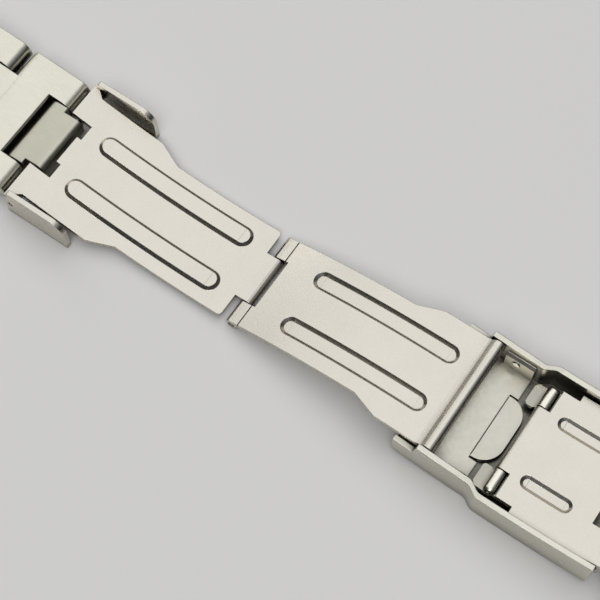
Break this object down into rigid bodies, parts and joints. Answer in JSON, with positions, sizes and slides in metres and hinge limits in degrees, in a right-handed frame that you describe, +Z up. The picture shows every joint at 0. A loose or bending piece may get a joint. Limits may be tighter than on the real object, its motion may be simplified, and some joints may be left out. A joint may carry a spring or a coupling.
{
  "type": "watch bracelet",
  "caption": "Steel watch bracelet with jointed links, a fold-over clasp with two folding blades, and a fold-out extension.",
  "frame": {"origin": "below the middle of the whole bracelet, at the surface it lies on", "axes": "+X along the bracelet from the blade end towards the cover, +Y across it, +Z up, out of the wrist side"},
  "size_m": [0.2168, 0.0218, 0.0071],
  "materials": {
    "brushed_cover": "long straight brushing along the bracelet",
    "satin_sheet": "fine satin on cold-rolled sheet",
    "pressed_sheet": "as pressed, slightly dull",
    "brushed_links": "brushed faces with polished edges",
    "turned_pins": "turned and polished",
    "spring_wire": "drawn wire"
  },
  "bodies": {
    "cover": {"cover_shell": "brushed_cover", "hinge_bracket": "pressed_sheet", "bracket_rivets": "turned_pins", "cover_hinge_pin": "turned_pins", "extension_rear_pin": "turned_pins"},
    "middle_blade": {"middle_blade": "satin_sheet", "blade_hinge_pin": "turned_pins"},
    "inner_blade": {"inner_blade": "satin_sheet", "fin_bar_tube": "turned_pins", "fin_bar_spring": "spring_wire"},
    "fin_tip_far": {"fin_bar_tip_far": "turned_pins"},
    "fin_tip_near": {"fin_bar_tip_near": "turned_pins"},
    "extension_arms": {"extension_arms": "pressed_sheet", "extension_front_pin": "turned_pins"},
    "extension_plate": {"extension_plate": "satin_sheet", "plate_bar_tube": "turned_pins", "plate_bar_spring": "spring_wire"},
    "plate_tip_far": {"plate_bar_tip_far": "turned_pins"},
    "plate_tip_near": {"plate_bar_tip_near": "turned_pins"},
    "left_end_centre": {"left_end_centre": "brushed_links"},
    "left_link_1": {"left_link_1": "brushed_links", "left_pin_1": "turned_pins"},
    "left_link_2": {"left_link_2": "brushed_links", "left_pin_2": "turned_pins"},
    "left_link_3": {"left_link_3": "brushed_links", "left_pin_3": "turned_pins"},
    "left_link_4": {"left_link_4": "brushed_links", "left_pin_4": "turned_pins"},
    "left_link_5": {"left_link_5": "brushed_links", "left_pin_5": "turned_pins"},
    "left_case_link": {"left_case_link": "brushed_links", "left_case_pin": "turned_pins", "left_bar_tube": "turned_pins", "left_bar_spring": "spring_wire"},
    "left_tip_far": {"left_bar_tip_far": "turned_pins"},
    "left_tip_near": {"left_bar_tip_near": "turned_pins"},
    "right_end_centre": {"right_end_centre": "brushed_links"},
    "right_link_1": {"right_link_1": "brushed_links", "right_pin_1": "turned_pins"},
    "right_link_2": {"right_link_2": "brushed_links", "right_pin_2": "turned_pins"},
    "right_link_3": {"right_link_3": "brushed_links", "right_pin_3": "turned_pins"},
    "right_link_4": {"right_link_4": "brushed_links", "right_pin_4": "turned_pins"},
    "right_link_5": {"right_link_5": "brushed_links", "right_pin_5": "turned_pins"},
    "right_case_link": {"right_case_link": "brushed_links", "right_case_pin": "turned_pins", "right_bar_tube": "turned_pins", "right_bar_spring": "spring_wire"},
    "right_tip_far": {"right_bar_tip_far": "turned_pins"},
    "right_tip_near": {"right_bar_tip_near": "turned_pins"}
  },
  "joints": [
    {"name": "blade_fold", "type": "hinge", "parent": "cover", "child": "middle_blade", "pos_m": [0.02051, 0, 0.00594], "axis": [0, 1, 0], "range_deg": [0, 183.7]},
    {"name": "inner_fold", "type": "hinge", "parent": "middle_blade", "child": "inner_blade", "pos_m": [-0.01079, 0, 0.00096], "axis": [0, -1, 0], "range_deg": [0, 191.01]},
    {"name": "extension_lift", "type": "hinge", "parent": "cover", "child": "extension_arms", "pos_m": [0.04166, 0, 0.00292], "axis": [0, 1, 0], "range_deg": [0, 165]},
    {"name": "extension_level", "type": "hinge", "parent": "extension_arms", "child": "extension_plate", "pos_m": [0.02951, 0, 0.00358], "axis": [0, -1, 0], "range_deg": [0, 165]},
    {"name": "fin_tip_far_press", "type": "slide", "parent": "inner_blade", "child": "fin_tip_far", "axis": [0, -1, 0], "range_m": [0, 0.0011], "stiffness_N_per_m": 300, "springref_m": -0.0005},
    {"name": "fin_tip_near_press", "type": "slide", "parent": "inner_blade", "child": "fin_tip_near", "axis": [0, 1, 0], "range_m": [0, 0.0011], "stiffness_N_per_m": 300, "springref_m": -0.0005},
    {"name": "plate_tip_far_press", "type": "slide", "parent": "extension_plate", "child": "plate_tip_far", "axis": [0, -1, 0], "range_m": [0, 0.0011], "stiffness_N_per_m": 300, "springref_m": -0.0005},
    {"name": "plate_tip_near_press", "type": "slide", "parent": "extension_plate", "child": "plate_tip_near", "axis": [0, 1, 0], "range_m": [0, 0.0011], "stiffness_N_per_m": 300, "springref_m": -0.0005},
    {"name": "left_end_centre_hinge", "type": "hinge", "parent": "inner_blade", "child": "left_end_centre", "pos_m": [-0.04524, 0, 0.00272], "axis": [0, 1, 0], "range_deg": [-20, 18]},
    {"name": "left_link_1_hinge", "type": "hinge", "parent": "left_end_centre", "child": "left_link_1", "pos_m": [-0.04873, 0, 0.00248], "axis": [0, 1, 0], "range_deg": [-25, 30]},
    {"name": "left_link_2_hinge", "type": "hinge", "parent": "left_link_1", "child": "left_link_2", "pos_m": [-0.05899, 0, 0.00338], "axis": [0, 1, 0], "range_deg": [-25, 30]},
    {"name": "left_link_3_hinge", "type": "hinge", "parent": "left_link_2", "child": "left_link_3", "pos_m": [-0.06926, 0, 0.0041], "axis": [0, 1, 0], "range_deg": [-25, 30]},
    {"name": "left_link_4_hinge", "type": "hinge", "parent": "left_link_3", "child": "left_link_4", "pos_m": [-0.07955, 0, 0.00356], "axis": [0, 1, 0], "range_deg": [-25, 30]},
    {"name": "left_link_5_hinge", "type": "hinge", "parent": "left_link_4", "child": "left_link_5", "pos_m": [-0.08977, 0, 0.0023], "axis": [0, 1, 0], "range_deg": [-25, 30]},
    {"name": "left_case_link_hinge", "type": "hinge", "parent": "left_link_5", "child": "left_case_link", "pos_m": [-0.10006, 0, 0.00176], "axis": [0, 1, 0], "range_deg": [-25, 30]},
    {"name": "left_tip_far_press", "type": "slide", "parent": "left_case_link", "child": "left_tip_far", "axis": [0, -1, 0], "range_m": [0, 0.0011], "stiffness_N_per_m": 300, "springref_m": -0.0005},
    {"name": "left_tip_near_press", "type": "slide", "parent": "left_case_link", "child": "left_tip_near", "axis": [0, 1, 0], "range_m": [0, 0.0011], "stiffness_N_per_m": 300, "springref_m": -0.0005},
    {"name": "right_end_centre_hinge", "type": "hinge", "parent": "extension_plate", "child": "right_end_centre", "pos_m": [0.04521, 0, 0.00404], "axis": [0, -1, 0], "range_deg": [-20, 18]},
    {"name": "right_link_1_hinge", "type": "hinge", "parent": "right_end_centre", "child": "right_link_1", "pos_m": [0.04866, 0, 0.00343], "axis": [0, -1, 0], "range_deg": [-25, 30]},
    {"name": "right_link_2_hinge", "type": "hinge", "parent": "right_link_1", "child": "right_link_2", "pos_m": [0.05886, 0, 0.002], "axis": [0, -1, 0], "range_deg": [-25, 30]},
    {"name": "right_link_3_hinge", "type": "hinge", "parent": "right_link_2", "child": "right_link_3", "pos_m": [0.06916, 0, 0.00178], "axis": [0, -1, 0], "range_deg": [-25, 30]},
    {"name": "right_link_4_hinge", "type": "hinge", "parent": "right_link_3", "child": "right_link_4", "pos_m": [0.07946, 0, 0.00178], "axis": [0, -1, 0], "range_deg": [-25, 30]},
    {"name": "right_link_5_hinge", "type": "hinge", "parent": "right_link_4", "child": "right_link_5", "pos_m": [0.08976, 0, 0.00178], "axis": [0, -1, 0], "range_deg": [-25, 30]},
    {"name": "right_case_link_hinge", "type": "hinge", "parent": "right_link_5", "child": "right_case_link", "pos_m": [0.10006, 0, 0.00178], "axis": [0, -1, 0], "range_deg": [-25, 30]},
    {"name": "right_tip_far_press", "type": "slide", "parent": "right_case_link", "child": "right_tip_far", "axis": [0, -1, 0], "range_m": [0, 0.0011], "stiffness_N_per_m": 300, "springref_m": -0.0005},
    {"name": "right_tip_near_press", "type": "slide", "parent": "right_case_link", "child": "right_tip_near", "axis": [0, 1, 0], "range_m": [0, 0.0011], "stiffness_N_per_m": 300, "springref_m": -0.0005}
  ],
  "couplings": [
    {"joint": "inner_fold", "follows": "blade_fold", "ratio": 1.0397},
    {"joint": "extension_level", "follows": "extension_lift", "ratio": 1}
  ]
}
